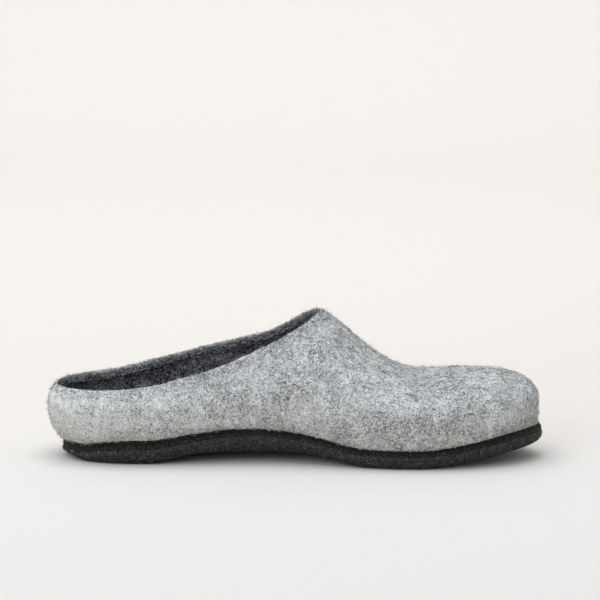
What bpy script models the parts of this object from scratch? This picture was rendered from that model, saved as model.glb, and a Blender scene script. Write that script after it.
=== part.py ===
"""A felt slipper for the left foot: one open-backed felt shell on a contoured sole.

+X points to the toe, -Y to the inner side of the foot and +Z up. The sole stands on z = 0.
All pieces are stacks of closed loops that run once round the shoe, through the same sections.
"""

import math

import bmesh
import bpy
import numpy as np

# Driving dimensions, in metres.
SOLE_LENGTH = 0.264
BALL_WIDTH = 0.101
INSTEP_HEIGHT = 0.0797
TOE_HEIGHT = 0.0462
HEEL_HEIGHT = 0.0399
WALL = 0.0045
HEEL_BULGE = 0.0077
BELLY_HEIGHT = 0.0205
SOLE_THICKNESS = 0.012
MIDSOLE_THICKNESS = 0.0044
INSOLE_THICKNESS = 0.0062
ARCH_RISE = 0.0062
TOE_SPRING = 0.0082
SOLE_LEDGE = 0.0018
SOLE_EDGE_ROUND = 0.006
SEAT_DISH = 0.0026
INSOLE_CUP = 0.003
INSOLE_CLEARANCE = 0.0005
GAP = 0.0003

# Where the sections of the heel and of the toe turn about one point: along in shares of
# SOLE_LENGTH, across in shares of BALL_WIDTH. The turn begins TURN_BLEND before it.
TURN_BLEND = 0.0132
TURN_COLUMNS = ("name", "along", "across")
TURN = (
    ("heel", 0.135, 0.000),
    ("toe", 0.872, -0.020),
)

# The sole's outline: along in shares of SOLE_LENGTH, inner and outer side in shares of BALL_WIDTH.
# Steps is the number of sections from the row to the next one.
OUTLINE_COLUMNS = ("name", "along", "inner", "outer", "steps")
OUTLINE = (
    ("heel_back", 0.000, 0.000, 0.000, 3),
    ("heel_turn", 0.024, -0.172, 0.172, 3),
    ("heel_round", 0.085, -0.285, 0.288, 4),
    ("heel_seat", 0.185, -0.325, 0.335, 3),
    ("breast", 0.290, -0.305, 0.350, 3),
    ("waist", 0.400, -0.282, 0.378, 3),
    ("instep", 0.475, -0.300, 0.418, 6),
    ("throat", 0.539, -0.348, 0.460, 5),
    ("joint", 0.660, -0.448, 0.525, 4),
    ("ball", 0.760, -0.466, 0.505, 4),
    ("toe_box", 0.865, -0.412, 0.408, 4),
    ("toe_round", 0.945, -0.302, 0.262, 3),
    ("toe_turn", 0.985, -0.188, 0.112, 3),
    ("toe_tip", 1.000, -0.038, -0.038, 0),
)

# Thickness of the sole at its edge, in shares of SOLE_THICKNESS, and how far its underside is
# raised: arch in shares of ARCH_RISE, spring in shares of TOE_SPRING. The floor cuts it flat
# where the sum is below zero. Midsole is the dark layer, in shares of MIDSOLE_THICKNESS, and
# round the lower edge's rounding, in shares of SOLE_EDGE_ROUND.
SOLE_COLUMNS = (
    *("name", "thick_inner", "thick_outer", "arch_inner", "arch_outer"),
    *("spring", "midsole", "round"),
)
SOLE = (
    ("heel_back", 0.52, 0.52, 0.00, 0.00, 0.28, 0.95, 0.45),
    ("heel_turn", 0.65, 0.63, -0.10, -0.10, 0.26, 1.00, 0.45),
    ("heel_round", 0.92, 0.88, -0.35, -0.35, 0.00, 1.00, 0.45),
    ("heel_seat", 1.06, 0.96, -0.08, -0.35, 0.00, 0.98, 0.50),
    ("breast", 0.96, 0.92, 0.82, 0.30, 0.00, 0.86, 0.55),
    ("waist", 1.08, 0.94, 0.90, 0.50, 0.00, 0.74, 0.60),
    ("instep", 0.94, 0.88, 0.93, 0.46, 0.00, 0.70, 0.60),
    ("throat", 0.84, 0.84, 0.68, 0.26, 0.00, 0.68, 0.60),
    ("joint", 0.83, 0.80, -0.20, -0.30, 0.00, 0.66, 0.60),
    ("ball", 0.81, 0.80, -0.10, -0.10, 0.10, 0.66, 0.65),
    ("toe_box", 0.84, 0.84, 0.00, 0.00, 0.47, 0.66, 0.75),
    ("toe_round", 0.90, 0.89, 0.00, 0.00, 0.82, 0.68, 0.85),
    ("toe_turn", 0.88, 0.88, 0.00, 0.00, 0.97, 0.70, 0.90),
    ("toe_tip", 0.80, 0.80, 0.00, 0.00, 1.02, 0.70, 0.90),
)

# The shell's sections: how far its belly stands out past the sole, in shares of HEEL_BULGE, the
# belly's height above the shell's foot, in shares of BELLY_HEIGHT, the exponent of the arched
# section, and how far the foot of the shell stands in from the sole, in shares of SOLE_LEDGE.
SHELL_COLUMNS = ("name", "bulge_inner", "bulge_outer", "belly", "fullness", "tuck")
SHELL = (
    ("heel_back", 1.00, 1.00, 1.00, 2.00, 0.25),
    ("heel_turn", 0.93, 0.93, 0.97, 2.00, 0.27),
    ("heel_round", 0.66, 0.68, 0.86, 2.00, 0.32),
    ("heel_seat", 0.44, 0.46, 0.72, 2.00, 0.40),
    ("breast", 0.42, 0.36, 0.60, 1.96, 0.45),
    ("waist", 0.46, 0.32, 0.55, 1.88, 0.50),
    ("instep", 0.42, 0.28, 0.56, 1.92, 0.52),
    ("throat", 0.34, 0.24, 0.58, 2.00, 0.55),
    ("joint", 0.16, 0.14, 0.62, 2.10, 0.60),
    ("ball", 0.06, 0.08, 0.60, 2.30, 0.65),
    ("toe_box", 0.00, 0.02, 0.52, 2.65, 0.80),
    ("toe_round", -0.10, -0.08, 0.46, 3.05, 0.95),
    ("toe_turn", -0.15, -0.14, 0.44, 3.20, 1.00),
    ("toe_tip", -0.16, -0.16, 0.44, 3.20, 1.00),
)

# The line over the top of the last, in shares of the way from TOE_HEIGHT to INSTEP_HEIGHT.
# Behind the throat it is only the form that the collar's sides follow.
CROWN_COLUMNS = ("along", "height")
CROWN = (
    (0.135, 0.17),
    (0.220, 0.46),
    (0.320, 0.84),
    (0.420, 1.10),
    (0.490, 1.14),
    (0.539, 1.00),
    (0.581, 0.780),
    (0.623, 0.500),
    (0.665, 0.230),
    (0.706, 0.050),
    (0.745, -0.010),
    (0.800, -0.012),
    (0.872, 0.005),
)

# The collar's edge, in shares of the way from HEEL_HEIGHT to INSTEP_HEIGHT.
COLLAR_COLUMNS = ("along", "inner", "outer")
COLLAR = (
    (0.000, 0.000, 0.000),
    (0.085, 0.000, 0.030),
    (0.160, 0.045, 0.128),
    (0.225, 0.120, 0.248),
    (0.290, 0.238, 0.358),
    (0.370, 0.425, 0.475),
    (0.440, 0.640, 0.600),
    (0.497, 0.835, 0.815),
    (0.539, 1.000, 1.000),
)

THROAT_ROW = [row[0] for row in OUTLINE].index("throat")
BELLY_ROWS = 4
ARCH_ROWS = 9
BELLY_POWER = 0.75
LIP_STEPS = 5
FLAT_BLEND = 0.0008

# Share of the width at which the loops of a hidden face, the tread and the footbed lie.
RING_COLUMNS = ("face", "share")
RINGS = (
    ("hidden", 0.50),
    ("tread", 0.30),
    ("tread", 0.60),
    ("tread", 0.86),
    ("footbed", 0.28),
    ("footbed", 0.55),
    ("footbed", 0.80),
    ("footbed", 0.93),
)

# Height of the insole's top over the midsole, in shares of INSOLE_THICKNESS along its middle,
# and the extra height of its rim, in shares of INSOLE_CUP.
FOOTBED_COLUMNS = ("name", "middle", "rim_inner", "rim_outer")
FOOTBED = (
    ("heel_back", 0.80, 1.00, 1.00),
    ("heel_turn", 0.80, 1.00, 1.00),
    ("heel_round", 0.80, 1.00, 1.00),
    ("heel_seat", 0.86, 1.10, 0.95),
    ("breast", 1.02, 1.45, 0.85),
    ("waist", 1.14, 1.60, 0.75),
    ("instep", 1.18, 1.40, 0.65),
    ("throat", 1.14, 1.05, 0.55),
    ("joint", 0.92, 0.45, 0.35),
    ("ball", 0.80, 0.25, 0.25),
    ("toe_box", 0.72, 0.25, 0.25),
    ("toe_round", 0.70, 0.30, 0.30),
    ("toe_turn", 0.70, 0.30, 0.30),
    ("toe_tip", 0.70, 0.30, 0.30),
)

# Name: colour, roughness.
MATERIALS = {
    "upper": ((0.42, 0.45, 0.46), 0.95),
    "insole": ((0.035, 0.037, 0.042), 0.95),
    "midsole": ((0.018, 0.018, 0.018), 0.95),
    "outsole": ((0.035, 0.033, 0.032), 0.85),
}


def column(table, columns, name):
    """One column of a table, as an array."""
    return np.array([row[columns.index(name)] for row in table], float)


def cubic(knots, values, at, closed=False):
    """A smooth cubic through the values at the knots: natural at its ends, or closed on itself."""
    knots, values, at = (np.asarray(a, float) for a in (knots, values, at))
    ends = np.append(values, values[0]) if closed else values
    gaps = np.diff(knots)
    slopes = np.diff(ends) / gaps
    count = len(values)
    matrix, right = np.eye(count), np.zeros(count)
    for i in range(0 if closed else 1, count if closed else count - 1):
        before, after = gaps[i - 1], gaps[i]
        matrix[i, i] = 2 * (before + after)
        matrix[i, i - 1] = before
        matrix[i, (i + 1) % count] = after
        right[i] = 6 * (slopes[i] - slopes[i - 1])
    bend = np.linalg.solve(matrix, right)
    bend = np.append(bend, bend[0]) if closed else bend
    if closed:
        at = knots[0] + (at - knots[0]) % (knots[-1] - knots[0])
    i = np.clip(np.searchsorted(knots, at, side="right") - 1, 0, len(gaps) - 1)
    right_share = (at - knots[i]) / gaps[i]
    left_share = 1 - right_share
    curve = (left_share**3 - left_share) * bend[i] + (right_share**3 - right_share) * bend[i + 1]
    return left_share * ends[i] + right_share * ends[i + 1] + curve * gaps[i] ** 2 / 6


def station_rows():
    """Positions of the sections from the heel to the toe, counted in rows of the tables."""
    steps = [row[OUTLINE_COLUMNS.index("steps")] for row in OUTLINE]
    found = []
    for row, count in enumerate(steps):
        shares = np.arange(count) / max(count, 1)
        # The collar turns across the shoe at the throat, so the sections gather there.
        if row == THROAT_ROW - 1:
            shares = 1 - (1 - shares) ** 1.8
        if row == THROAT_ROW:
            shares = shares**1.4
        found.extend(row + shares)
    return np.array([*found, len(steps) - 1])


def both_sides(inner, outer):
    """Values of the rows, once round the shoe: up the inner side and back down the outer side."""
    return np.concatenate([inner, outer[-2:0:-1]])


class Last:
    """The sections that all the pieces share, one entry each, once round the shoe."""

    def __init__(self):
        rows = station_rows()
        last_row = len(OUTLINE) - 1
        self.half = len(rows) - 1
        self.count = 2 * self.half
        self.throat = int(np.argmin(abs(rows - THROAT_ROW)))
        self.places = np.concatenate([rows, (2 * last_row - rows)[-2:0:-1]])
        along = column(OUTLINE, OUTLINE_COLUMNS, "along") * SOLE_LENGTH
        inner, outer = (column(OUTLINE, OUTLINE_COLUMNS, side) * BALL_WIDTH for side in ("inner", "outer"))
        self.row_points = np.column_stack([both_sides(along, along), both_sides(inner, outer)])
        steps = np.roll(self.row_points, -1, axis=0) - self.row_points
        self.knots = np.concatenate([[0], np.cumsum(np.hypot(*steps.T))])
        self.at = np.interp(self.places, np.arange(len(self.knots)), self.knots)
        self.edge = self.outline(self.at)
        small = 1e-4 * SOLE_LENGTH
        tangent = self.outline(self.at + small) - self.outline(self.at - small)
        tangent /= np.linalg.norm(tangent, axis=1)[:, None]
        self.out = np.column_stack([tangent[:, 1], -tangent[:, 0]])
        self.along = self.mirror_mean(self.edge[:, 0]) / SOLE_LENGTH
        self.centre_along = self.gathered(self.along)
        turn_along, turn_across = (column(TURN, TURN_COLUMNS, name) for name in ("along", "across"))
        across = np.interp(self.centre_along, turn_along, turn_across)
        self.centre = np.column_stack([self.centre_along * SOLE_LENGTH, across * BALL_WIDTH])

    def outline(self, at):
        """Points of the sole's outline."""
        return np.column_stack([cubic(self.knots, self.row_points[:, i], at, closed=True) for i in (0, 1)])

    def ring(self, table, columns, inner, outer=None):
        """A column, or one for each side, worked out at every section."""
        values = both_sides(column(table, columns, inner), column(table, columns, outer or inner))
        return cubic(self.knots, values, self.at, closed=True)

    def mirror_mean(self, values):
        """The mean of the two sections that face each other across the shoe."""
        return (values + values[-np.arange(self.count)]) / 2

    def over_centre(self, values):
        """Values along the middle line: the mean of the two sides, read where the centre lies."""
        half = slice(0, self.half + 1)
        mean = self.mirror_mean(values)[half]
        return np.interp(self.centre_along, self.along[half], mean)

    @staticmethod
    def gathered(along):
        """Shares of the length, gathered in the centres of the heel and the toe near the ends."""
        low, high = column(TURN, TURN_COLUMNS, "along")
        blend = TURN_BLEND / SOLE_LENGTH
        kept = np.clip(along, low - blend, high + blend)
        near_low = kept < low + blend
        near_high = kept > high - blend
        ease_low = (kept - low - blend) ** 2 / (4 * blend)
        ease_high = (kept - high + blend) ** 2 / (4 * blend)
        return kept + np.where(near_low, ease_low, 0) - np.where(near_high, ease_high, 0)


def loop(plan, height):
    """Points of one loop, from its plan and its height."""
    return np.column_stack([plan, np.broadcast_to(height, len(plan))])


def beside(last, offset, height):
    """A loop that stands off the sole's outline by an offset, which is negative inside it."""
    return loop(last.edge + last.out * np.reshape(offset, (-1, 1)), height)


def ring_shares(face):
    """Shares of the width at which a face's loops lie, from the middle line outwards."""
    rows = (dict(zip(RING_COLUMNS, row)) for row in RINGS)
    return [0, *(row["share"] for row in rows if row["face"] == face)]


def dished(last, rim, middle, shares, power=2.0):
    """Loops at shares of the way from the middle line to a rim, with a power as the dish's section."""
    spread = rim[:, :2] - last.centre
    return [loop(last.centre + spread * s, middle + (rim[:, 2] - middle) * s**power) for s in shares]


def above_floor(raised):
    """Height of the underside: cut flat by the floor, with a short soft start to each rise."""
    eased = (raised + FLAT_BLEND) ** 2 / (4 * FLAT_BLEND)
    return np.where(raised < -FLAT_BLEND, 0, np.where(raised < FLAT_BLEND, eased, raised))


class Heights:
    """Heights of the sole's layers at its edge and along its middle line."""

    def __init__(self, last):
        arch = last.ring(SOLE, SOLE_COLUMNS, "arch_inner", "arch_outer") * ARCH_RISE
        raised = arch + last.ring(SOLE, SOLE_COLUMNS, "spring") * TOE_SPRING
        thick = last.ring(SOLE, SOLE_COLUMNS, "thick_inner", "thick_outer") * SOLE_THICKNESS
        layer = last.ring(SOLE, SOLE_COLUMNS, "midsole") * MIDSOLE_THICKNESS
        self.tread = above_floor(raised)
        self.tread_middle = above_floor(last.over_centre(raised))
        self.seat = self.tread + thick
        self.seat_middle = last.over_centre(self.seat) - SEAT_DISH
        self.joint = self.seat - layer
        self.joint_middle = self.seat_middle - last.over_centre(layer)
        self.tuck = last.ring(SHELL, SHELL_COLUMNS, "tuck") * SOLE_LEDGE
        self.margin = self.tuck + GAP + WALL + INSOLE_CLEARANCE


def solid_from_loops(name, loops):
    """A closed solid from loops that begin and end on the middle line."""
    mesh = bmesh.new()
    rows = [[mesh.verts.new(point) for point in points] for points in loops]
    for upper, lower in zip(rows, rows[1:]):
        for i in range(len(upper)):
            after = (i + 1) % len(upper)
            mesh.faces.new((upper[i], lower[i], lower[after], upper[after]))
    return finish(name, mesh)


def finish(name, mesh):
    """Joins the points that fall together, and links the mesh as a smooth object of that name."""
    bmesh.ops.remove_doubles(mesh, verts=mesh.verts, dist=1e-6)
    bmesh.ops.dissolve_degenerate(mesh, dist=1e-7, edges=mesh.edges)
    bmesh.ops.recalc_face_normals(mesh, faces=mesh.faces)
    bmesh.ops.triangulate(mesh, faces=mesh.faces, quad_method="SHORT_EDGE")
    data = bpy.data.meshes.new(name)
    mesh.to_mesh(data)
    mesh.free()
    data.shade_smooth()
    made = bpy.data.objects.new(name, data)
    bpy.context.scene.collection.objects.link(made)
    made.data.materials.append(material(name))
    return made


def material(name):
    """A plain Principled material in the piece's colour."""
    colour, roughness = MATERIALS[name]
    made = bpy.data.materials.new(name)
    made.use_nodes = True
    shader = made.node_tree.nodes["Principled BSDF"]
    shader.inputs["Base Color"].default_value = (*colour, 1)
    shader.inputs["Roughness"].default_value = roughness
    shader.inputs["Metallic"].default_value = 0
    return made


def layer_face(last, heights, edge, middle):
    """Loops of a face between two layers: a flat margin at the edge, and a dish inside it."""
    rim = beside(last, -heights.margin, edge)
    return [*dished(last, rim, middle, ring_shares("hidden")), rim]


def make_outsole(last, heights):
    """The outsole: heel seat, raised arch, ball and toe spring, with a rounded lower edge."""
    rounding = SOLE_EDGE_ROUND * last.ring(SOLE, SOLE_COLUMNS, "round")
    top = heights.joint - GAP
    rise = top - heights.tread
    rim = beside(last, -rounding, heights.tread)
    loops = [
        *layer_face(last, heights, top, heights.joint_middle - GAP),
        beside(last, -GAP, top),
        beside(last, 0.0, heights.tread + 0.62 * rise),
        beside(last, -0.22 * rounding, heights.tread + 0.26 * rise),
        beside(last, -0.55 * rounding, heights.tread + 0.07 * rise),
        rim,
        *dished(last, rim, heights.tread_middle, ring_shares("tread")[::-1], power=4.0),
    ]
    return solid_from_loops("outsole", loops)


def make_midsole(last, heights):
    """The dark layer between the outsole and the shell's foot."""
    loops = [
        *layer_face(last, heights, heights.seat, heights.seat_middle),
        beside(last, -heights.tuck, heights.seat),
        beside(last, -GAP - 0.25 * heights.tuck, (heights.seat + heights.joint) / 2),
        beside(last, -GAP, heights.joint),
        *layer_face(last, heights, heights.joint, heights.joint_middle)[::-1],
    ]
    return solid_from_loops("midsole", loops)


def shell_outside(last, heights):
    """The shell's outer face: rows of points from its foot to the crown or the collar's edge."""
    foot = -heights.tuck - GAP
    bulge = last.ring(SHELL, SHELL_COLUMNS, "bulge_inner", "bulge_outer") * HEEL_BULGE
    rise = last.ring(SHELL, SHELL_COLUMNS, "belly") * BELLY_HEIGHT
    fullness = last.ring(SHELL, SHELL_COLUMNS, "fullness")
    base = heights.seat + GAP
    rows = []
    for step in np.arange(BELLY_ROWS) / BELLY_ROWS:
        climb = 1 - math.cos(step * math.pi / 2)
        out = (1 - (1 - climb) ** 2) ** BELLY_POWER
        rows.append(beside(last, foot + (bulge - foot) * out, base + rise * climb))
    belly = beside(last, bulge, base + rise)
    crown = crown_height(last.centre_along)
    arch = crown - belly[:, 2]
    cut = math.pi / 2 - top_angle(last, belly[:, 2], arch, fullness)
    # The rows keep their places on the arch and close up only near a collar that cuts it.
    closing = np.clip(0.8 * math.pi / 2 / np.maximum(cut, 1e-6), 1, 4)
    for step in np.arange(ARCH_ROWS + 1) / ARCH_ROWS:
        angle = math.pi / 2 * step - cut * step**closing
        side, up = (np.clip(wave(angle), 0, 1) ** (2 / fullness) for wave in (np.cos, np.sin))
        side = np.where(angle > math.pi / 2 - 1e-9, 0, side)
        plan = last.centre + (belly[:, :2] - last.centre) * side[:, None]
        rows.append(loop(plan, belly[:, 2] + arch * up))
    return np.array(rows)


def crown_height(along):
    """Height of the last's top line."""
    knots, share = (column(CROWN, CROWN_COLUMNS, name) for name in CROWN_COLUMNS)
    return TOE_HEIGHT + (INSTEP_HEIGHT - TOE_HEIGHT) * cubic(knots, share, along)


def top_angle(last, belly, arch, fullness):
    """How far each section's arch runs: a right angle over the toes, less where the collar cuts it."""
    knots = column(COLLAR, COLLAR_COLUMNS, "along")
    sides = (column(COLLAR, COLLAR_COLUMNS, side) for side in ("inner", "outer"))
    inner, outer = (cubic(knots, side, last.along) for side in sides)
    index = np.arange(last.count)
    share = np.where(index <= last.half, inner, outer)
    cut = HEEL_HEIGHT + (INSTEP_HEIGHT - HEEL_HEIGHT) * share
    reach = np.clip((cut - belly) / arch, 0, 1) ** (fullness / 2)
    from_heel = np.minimum(index, last.count - index)
    return np.where(from_heel < last.throat, np.arcsin(reach), math.pi / 2)


def outward(rows):
    """Unit normals at the points of a face, the same where points of its top row fall together."""
    across = np.roll(rows, -1, axis=1) - rows
    up = np.diff(rows, axis=0)
    corners = np.zeros_like(rows)
    for near, far in ((0, 0), (0, 1), (1, 0), (1, 1)):
        side = across if far == 0 else np.roll(across, 1, axis=1)
        face = np.cross(side[:-1] if near == 0 else side[1:], up)
        corners[near : len(rows) - 1 + near] += face
    _, groups = np.unique(np.round(rows[-1], 7), axis=0, return_inverse=True)
    groups = groups.reshape(-1)
    sums = np.zeros((groups.max() + 1, 3))
    np.add.at(sums, groups, corners[-1])
    corners[-1] = sums[groups]
    return corners / np.linalg.norm(corners, axis=2)[:, :, None]


def shell_inside(last, heights, outside):
    """The shell's inner face, one wall inside the outer one, with a level foot."""
    inside = outside - WALL * outward(outside)
    inside[0] = beside(last, -heights.tuck - GAP - WALL, heights.seat + GAP)
    return inside


def make_upper(last, outside, inside):
    """The felt shell: both faces, the level foot and the round lip of the collar."""
    mesh = bmesh.new()
    faces = [[[mesh.verts.new(point) for point in row] for row in rows] for rows in (outside, inside)]
    for i in range(last.count):
        after = (i + 1) % last.count
        for rows in faces:
            for low, high in zip(rows, rows[1:]):
                mesh.faces.new((low[i], low[after], high[after], high[i]))
        mesh.faces.new((faces[0][0][i], faces[1][0][i], faces[1][0][after], faces[0][0][after]))
    collar = np.r_[last.throat : -1 : -1, last.count - 1 : last.count - last.throat : -1]
    rim_out, rim_in = outside[-1][collar], inside[-1][collar]
    along = np.roll(rim_out, -1, axis=0) - np.roll(rim_out, 1, axis=0)
    wall = rim_out - rim_in
    beyond = np.cross(wall, along)
    beyond /= np.linalg.norm(beyond, axis=1)[:, None]
    previous = [faces[0][-1][i] for i in collar]
    for step in range(1, LIP_STEPS + 1):
        turn = math.pi * step / LIP_STEPS
        lip = (rim_out + rim_in) / 2 + wall / 2 * math.cos(turn) + beyond * WALL / 2 * math.sin(turn)
        after = [mesh.verts.new(p) for p in lip] if step < LIP_STEPS else [faces[1][-1][i] for i in collar]
        for i in range(len(collar)):
            j = (i + 1) % len(collar)
            mesh.faces.new((previous[i], previous[j], after[j], after[i]))
        previous = after
    return finish("upper", mesh)


def make_insole(last, heights, inside):
    """The footbed: dished at the heel, raised under the arch, and close to the shell all round."""
    over = last.over_centre(last.ring(FOOTBED, FOOTBED_COLUMNS, "middle")) * INSOLE_THICKNESS
    edge_over = last.ring(FOOTBED, FOOTBED_COLUMNS, "middle") * INSOLE_THICKNESS
    rim_over = last.ring(FOOTBED, FOOTBED_COLUMNS, "rim_inner", "rim_outer") * INSOLE_CUP
    rim_height = heights.seat + edge_over + rim_over
    wall_rows = inside[: BELLY_ROWS + 1]
    offsets = ((wall_rows[:, :, :2] - last.edge) * last.out).sum(axis=2)
    places = range(last.count)
    reach = np.array([np.interp(rim_height[i], wall_rows[:, i, 2], offsets[:, i]) for i in places])
    top_rim = beside(last, reach - INSOLE_CLEARANCE - GAP, rim_height)
    low = beside(last, -heights.margin, heights.seat + GAP)
    loops = [
        *dished(last, top_rim, heights.seat_middle + over, ring_shares("footbed"), power=2.6),
        top_rim,
        low,
        *dished(last, low, heights.seat_middle + GAP, ring_shares("hidden")[::-1]),
    ]
    return solid_from_loops("insole", loops)


def centre_on_origin(objects):
    """Moves the meshes so that the middle of their common box stands over the origin."""
    points = np.array([vertex.co for made in objects for vertex in made.data.vertices])
    middle = (points.min(axis=0) + points.max(axis=0)) / 2
    for made in objects:
        for vertex in made.data.vertices:
            vertex.co.x -= middle[0]
            vertex.co.y -= middle[1]


def main():
    for old in list(bpy.data.objects):
        bpy.data.objects.remove(old)
    last = Last()
    heights = Heights(last)
    outside = shell_outside(last, heights)
    inside = shell_inside(last, heights, outside)
    pieces = [
        make_outsole(last, heights),
        make_midsole(last, heights),
        make_insole(last, heights, inside),
        make_upper(last, outside, inside),
    ]
    centre_on_origin(pieces)


main()
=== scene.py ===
"""The felt slipper's looks, its shape worked out as in the part's source on finer sections."""

import math

import bmesh
import bpy
import numpy as np
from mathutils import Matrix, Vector
from mathutils.bvhtree import BVHTree


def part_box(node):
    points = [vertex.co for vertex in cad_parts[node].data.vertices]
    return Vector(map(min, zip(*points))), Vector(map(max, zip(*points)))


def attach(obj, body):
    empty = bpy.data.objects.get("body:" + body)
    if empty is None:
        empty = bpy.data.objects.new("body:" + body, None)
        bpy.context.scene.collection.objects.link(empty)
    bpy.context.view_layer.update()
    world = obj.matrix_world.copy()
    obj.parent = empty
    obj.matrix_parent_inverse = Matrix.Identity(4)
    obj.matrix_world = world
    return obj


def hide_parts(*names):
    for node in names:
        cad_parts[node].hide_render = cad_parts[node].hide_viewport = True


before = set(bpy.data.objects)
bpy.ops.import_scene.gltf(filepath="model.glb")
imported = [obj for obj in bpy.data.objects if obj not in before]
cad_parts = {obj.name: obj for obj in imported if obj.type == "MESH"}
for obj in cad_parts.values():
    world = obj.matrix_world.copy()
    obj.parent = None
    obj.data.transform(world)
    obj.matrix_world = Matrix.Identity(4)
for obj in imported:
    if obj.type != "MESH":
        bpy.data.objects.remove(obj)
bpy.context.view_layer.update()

# Driving dimensions, in metres.
SOLE_LENGTH = 0.264
BALL_WIDTH = 0.101
INSTEP_HEIGHT = 0.0797
TOE_HEIGHT = 0.0462
HEEL_HEIGHT = 0.0399
WALL = 0.0045
HEEL_BULGE = 0.0077
BELLY_HEIGHT = 0.0205
SOLE_THICKNESS = 0.012
MIDSOLE_THICKNESS = 0.0044
INSOLE_THICKNESS = 0.0062
ARCH_RISE = 0.0062
TOE_SPRING = 0.0082
SOLE_LEDGE = 0.0018
SOLE_EDGE_ROUND = 0.006
SEAT_DISH = 0.0026
INSOLE_CUP = 0.003
INSOLE_CLEARANCE = 0.0005
GAP = 0.0003

# Where the sections of the heel and of the toe turn about one point, in shares of SOLE_LENGTH and
# BALL_WIDTH. The turn begins TURN_BLEND before it.
TURN_BLEND = 0.0132
TURN_COLUMNS = ("name", "along", "across")
TURN = (
    ("heel", 0.135, 0.000),
    ("toe", 0.872, -0.020),
)

# The sole's outline: along in shares of SOLE_LENGTH, inner and outer side in shares of BALL_WIDTH.
# Steps is the number of sections from the row to the next one.
OUTLINE_COLUMNS = ("name", "along", "inner", "outer", "steps")
OUTLINE = (
    ("heel_back", 0.000, 0.000, 0.000, 3),
    ("heel_turn", 0.024, -0.172, 0.172, 3),
    ("heel_round", 0.085, -0.285, 0.288, 4),
    ("heel_seat", 0.185, -0.325, 0.335, 3),
    ("breast", 0.290, -0.305, 0.350, 3),
    ("waist", 0.400, -0.282, 0.378, 3),
    ("instep", 0.475, -0.300, 0.418, 6),
    ("throat", 0.539, -0.348, 0.460, 5),
    ("joint", 0.660, -0.448, 0.525, 4),
    ("ball", 0.760, -0.466, 0.505, 4),
    ("toe_box", 0.865, -0.412, 0.408, 4),
    ("toe_round", 0.945, -0.302, 0.262, 3),
    ("toe_turn", 0.985, -0.188, 0.112, 3),
    ("toe_tip", 1.000, -0.038, -0.038, 0),
)

# Thickness of the sole at its edge, in shares of SOLE_THICKNESS, and how far its underside is
# raised: arch in shares of ARCH_RISE, spring in shares of TOE_SPRING. The floor cuts it flat
# where the sum is below zero. Midsole is the dark layer, in shares of MIDSOLE_THICKNESS, and
# round the lower edge's rounding, in shares of SOLE_EDGE_ROUND.
SOLE_COLUMNS = (
    *("name", "thick_inner", "thick_outer", "arch_inner", "arch_outer"),
    *("spring", "midsole", "round"),
)
SOLE = (
    ("heel_back", 0.52, 0.52, 0.00, 0.00, 0.28, 0.95, 0.45),
    ("heel_turn", 0.65, 0.63, -0.10, -0.10, 0.26, 1.00, 0.45),
    ("heel_round", 0.92, 0.88, -0.35, -0.35, 0.00, 1.00, 0.45),
    ("heel_seat", 1.06, 0.96, -0.08, -0.35, 0.00, 0.98, 0.50),
    ("breast", 0.96, 0.92, 0.82, 0.30, 0.00, 0.86, 0.55),
    ("waist", 1.08, 0.94, 0.90, 0.50, 0.00, 0.74, 0.60),
    ("instep", 0.94, 0.88, 0.93, 0.46, 0.00, 0.70, 0.60),
    ("throat", 0.84, 0.84, 0.68, 0.26, 0.00, 0.68, 0.60),
    ("joint", 0.83, 0.80, -0.20, -0.30, 0.00, 0.66, 0.60),
    ("ball", 0.81, 0.80, -0.10, -0.10, 0.10, 0.66, 0.65),
    ("toe_box", 0.84, 0.84, 0.00, 0.00, 0.47, 0.66, 0.75),
    ("toe_round", 0.90, 0.89, 0.00, 0.00, 0.82, 0.68, 0.85),
    ("toe_turn", 0.88, 0.88, 0.00, 0.00, 0.97, 0.70, 0.90),
    ("toe_tip", 0.80, 0.80, 0.00, 0.00, 1.02, 0.70, 0.90),
)

# The shell's sections: how far its belly stands out past the sole, in shares of HEEL_BULGE, the
# belly's height above the shell's foot, in shares of BELLY_HEIGHT, the exponent of the arched
# section, and how far the foot of the shell stands in from the sole, in shares of SOLE_LEDGE.
SHELL_COLUMNS = ("name", "bulge_inner", "bulge_outer", "belly", "fullness", "tuck")
SHELL = (
    ("heel_back", 1.00, 1.00, 1.00, 2.00, 0.25),
    ("heel_turn", 0.93, 0.93, 0.97, 2.00, 0.27),
    ("heel_round", 0.66, 0.68, 0.86, 2.00, 0.32),
    ("heel_seat", 0.44, 0.46, 0.72, 2.00, 0.40),
    ("breast", 0.42, 0.36, 0.60, 1.96, 0.45),
    ("waist", 0.46, 0.32, 0.55, 1.88, 0.50),
    ("instep", 0.42, 0.28, 0.56, 1.92, 0.52),
    ("throat", 0.34, 0.24, 0.58, 2.00, 0.55),
    ("joint", 0.16, 0.14, 0.62, 2.10, 0.60),
    ("ball", 0.06, 0.08, 0.60, 2.30, 0.65),
    ("toe_box", 0.00, 0.02, 0.52, 2.65, 0.80),
    ("toe_round", -0.10, -0.08, 0.46, 3.05, 0.95),
    ("toe_turn", -0.15, -0.14, 0.44, 3.20, 1.00),
    ("toe_tip", -0.16, -0.16, 0.44, 3.20, 1.00),
)

# The line over the top of the last, in shares of the way from TOE_HEIGHT to INSTEP_HEIGHT.
# Behind the throat it is only the form that the collar's sides follow.
CROWN_COLUMNS = ("along", "height")
CROWN = (
    (0.135, 0.17),
    (0.220, 0.46),
    (0.320, 0.84),
    (0.420, 1.10),
    (0.490, 1.14),
    (0.539, 1.00),
    (0.581, 0.780),
    (0.623, 0.500),
    (0.665, 0.230),
    (0.706, 0.050),
    (0.745, -0.010),
    (0.800, -0.012),
    (0.872, 0.005),
)

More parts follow.
